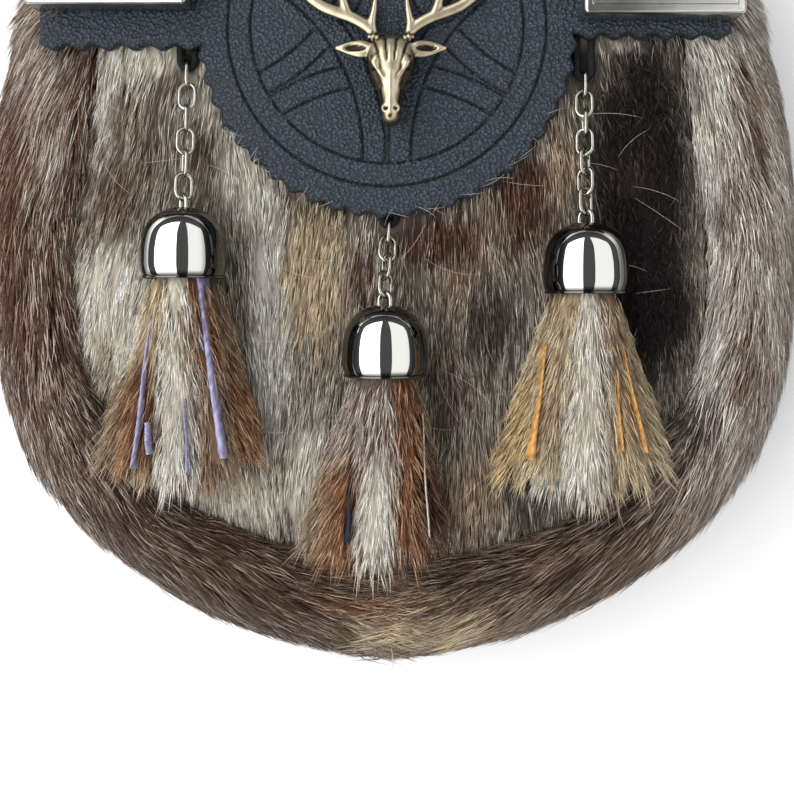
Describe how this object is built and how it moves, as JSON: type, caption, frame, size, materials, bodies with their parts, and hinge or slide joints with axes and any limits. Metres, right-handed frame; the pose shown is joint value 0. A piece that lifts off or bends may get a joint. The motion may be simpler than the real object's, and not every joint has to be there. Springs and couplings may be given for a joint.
{
  "type": "sporran pouch",
  "caption": "Fur-covered sporran pouch with a round side wall, a pinked leather flap, a cast stag's head badge, corner plates and fur tassels on chains.",
  "frame": {"origin": "middle of the outline at the lowest point, where the fur rests on the surface under the back", "axes": "+X to the wearer's left across the pouch, +Y up towards the belt, +Z out of the front"},
  "size_m": [0.2032, 0.1962, 0.0593],
  "materials": {
    "black_leather": "pebble-grained, satin",
    "fur": "hair on hide, brown and cream",
    "plate_nickel": "polished nickel",
    "smoked_nickel": "polished dark nickel",
    "chain_metal": "bright, slightly aged",
    "antique_brass": "antiqued cast relief, dark in the recesses"
  },
  "bodies": {
    "root": {"back_panel": "black_leather", "fur_gusset_right": "fur", "fur_gusset_bottom": "fur", "fur_gusset_left": "fur", "front_panel": "fur", "flap": "black_leather", "stag_badge": "antique_brass", "plate_left": "plate_nickel", "plate_right": "plate_nickel", "belt_loop_left": "black_leather", "belt_loop_right": "black_leather", "thong_left": "black_leather", "thong_middle": "black_leather", "thong_right": "black_leather", "cap_left": "smoked_nickel", "cap_middle": "smoked_nickel", "cap_right": "smoked_nickel", "tassel_left": "fur", "tassel_middle": "fur", "tassel_right": "fur", "link_left_1": "chain_metal", "link_left_2": "chain_metal", "link_left_3": "chain_metal", "link_left_4": "chain_metal", "link_left_5": "chain_metal", "link_left_6": "chain_metal", "link_middle_1": "chain_metal", "link_middle_2": "chain_metal", "link_middle_3": "chain_metal", "link_middle_4": "chain_metal", "link_right_1": "chain_metal", "link_right_2": "chain_metal", "link_right_3": "chain_metal", "link_right_4": "chain_metal", "link_right_5": "chain_metal", "link_right_6": "chain_metal", "link_right_7": "chain_metal"}
  },
  "joints": []
}
